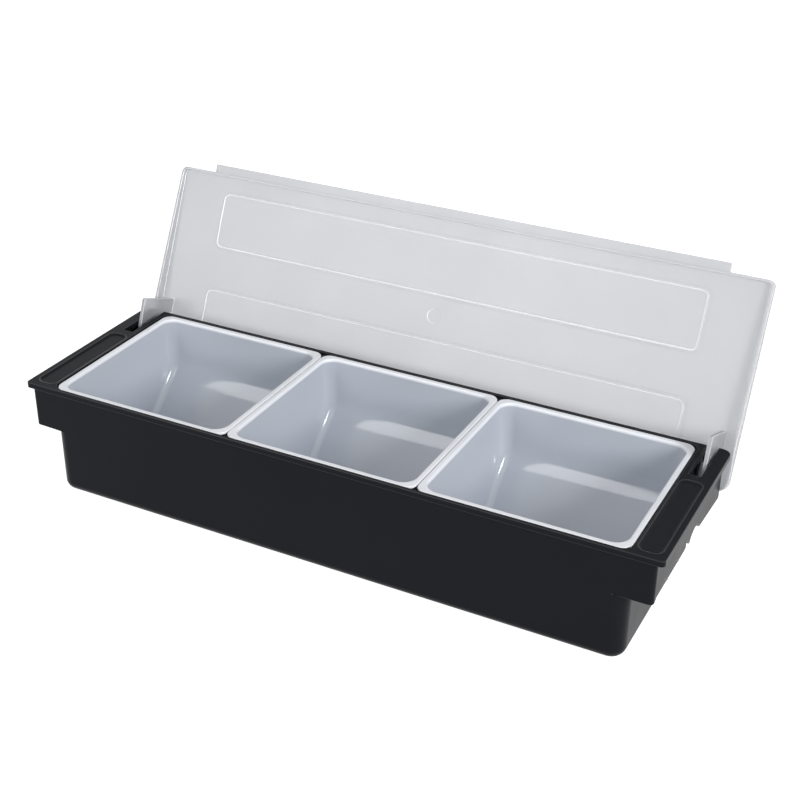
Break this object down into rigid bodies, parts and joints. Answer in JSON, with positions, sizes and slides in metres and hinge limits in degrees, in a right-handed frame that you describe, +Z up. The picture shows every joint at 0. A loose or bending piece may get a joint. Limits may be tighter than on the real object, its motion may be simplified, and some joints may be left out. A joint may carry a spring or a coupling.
{
  "type": "condiment caddy",
  "caption": "Countertop condiment caddy: black tub with a handle wing at each end, white lift-out inserts in a row, and a frosted lid that flips up on moulded pins.",
  "frame": {"origin": "middle of the tub's flat underside", "axes": "+X along the length, +Y from the front to the hinge side, +Z up"},
  "size_m": [0.495, 0.2191, 0.1966],
  "materials": {
    "black_plastic": "satin, fine grain",
    "white_plastic": "glossy",
    "frosted_plastic": "frosted translucent"
  },
  "bodies": {
    "tub": {"base_tub": "black_plastic"},
    "left_insert": {"insert_left": "white_plastic"},
    "centre_insert": {"insert_centre": "white_plastic"},
    "right_insert": {"insert_right": "white_plastic"},
    "flip_lid": {"lid": "frosted_plastic"}
  },
  "joints": [
    {"name": "lid_hinge", "type": "hinge", "parent": "tub", "child": "flip_lid", "pos_m": [0, 0.0626, 0.0746], "axis": [-1, 0, 0], "range_deg": [-117.7, 0]},
    {"name": "left_insert_lift", "type": "slide", "parent": "tub", "child": "left_insert", "axis": [0, 0, 1], "range_m": [0, 0.1]},
    {"name": "centre_insert_lift", "type": "slide", "parent": "tub", "child": "centre_insert", "axis": [0, 0, 1], "range_m": [0, 0.1]},
    {"name": "right_insert_lift", "type": "slide", "parent": "tub", "child": "right_insert", "axis": [0, 0, 1], "range_m": [0, 0.1]}
  ]
}
